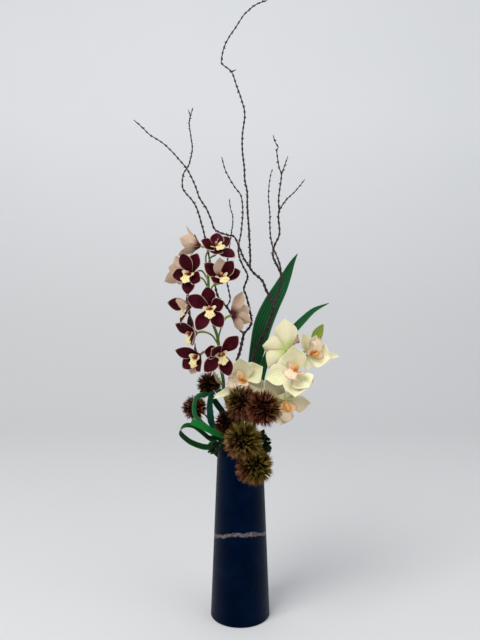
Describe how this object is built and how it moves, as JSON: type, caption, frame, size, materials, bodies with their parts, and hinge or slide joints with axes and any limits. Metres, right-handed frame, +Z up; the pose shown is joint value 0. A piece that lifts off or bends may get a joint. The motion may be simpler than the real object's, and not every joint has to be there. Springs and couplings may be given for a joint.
{
  "type": "orchid arrangement",
  "caption": "Tall tapered stone vase of water with orchid sprays, bare knobbly branches, strap leaves, looped grass blades, spiny burrs and boxwood.",
  "frame": {"origin": "centre of the vase's flat base, on the surface that the arrangement stands on", "axes": "+Z up, the front of the arrangement faces -Y, +X to the right as seen from the front"},
  "size_m": [0.3293, 0.1594, 1.0147],
  "materials": {
    "stone": "satin honed stone",
    "water": "clear water",
    "bark": "rough bark",
    "stem": "satin green stem",
    "burgundy_petal": "waxy petal",
    "burgundy_lip": "waxy petal",
    "white_petal": "waxy petal",
    "white_lip": "waxy petal",
    "burr": "dry spiny burr",
    "leaf": "satin leaf",
    "spray_leaf": "satin leaf",
    "boxwood": "glossy leaf"
  },
  "bodies": {
    "root": {"vase": "stone", "water": "water", "branch_a": "bark", "branch_b": "bark", "burgundy_stem": "stem", "white_stem": "stem", "burgundy_bloom_01": "burgundy_petal", "burgundy_bloom_01_lip": "burgundy_lip", "burgundy_bloom_02": "burgundy_petal", "burgundy_bloom_02_lip": "burgundy_lip", "burgundy_bloom_03": "burgundy_petal", "burgundy_bloom_03_lip": "burgundy_lip", "burgundy_bloom_04": "burgundy_petal", "burgundy_bloom_04_lip": "burgundy_lip", "burgundy_bloom_05": "burgundy_petal", "burgundy_bloom_05_lip": "burgundy_lip", "burgundy_bloom_06": "burgundy_petal", "burgundy_bloom_06_lip": "burgundy_lip", "burgundy_bloom_07": "burgundy_petal", "burgundy_bloom_07_lip": "burgundy_lip", "burgundy_bloom_08": "burgundy_petal", "burgundy_bloom_08_lip": "burgundy_lip", "burgundy_bloom_09": "burgundy_petal", "burgundy_bloom_09_lip": "burgundy_lip", "burgundy_bloom_10": "burgundy_petal", "burgundy_bloom_10_lip": "burgundy_lip", "burgundy_bloom_11": "burgundy_petal", "burgundy_bloom_11_lip": "burgundy_lip", "white_bloom_01": "white_petal", "white_bloom_01_lip": "white_lip", "white_bloom_02": "white_petal", "white_bloom_02_lip": "white_lip", "white_bloom_03": "white_petal", "white_bloom_03_lip": "white_lip", "white_bloom_04": "white_petal", "white_bloom_04_lip": "white_lip", "white_bloom_05": "white_petal", "white_bloom_05_lip": "white_lip", "burr_1": "burr", "burr_2": "burr", "burr_3": "burr", "burr_4": "burr", "burr_5": "burr", "burr_6": "burr", "burr_7": "burr", "burr_twig_front": "bark", "burr_twig_left": "bark", "leaf_tall": "leaf", "leaf_arching": "leaf", "loop_low": "leaf", "loop_back": "leaf", "loop_front": "leaf", "grass_front": "leaf", "spray_leaf": "spray_leaf", "boxwood_left": "boxwood", "boxwood_front": "boxwood", "boxwood_right": "boxwood", "boxwood_back": "boxwood"}
  },
  "joints": []
}
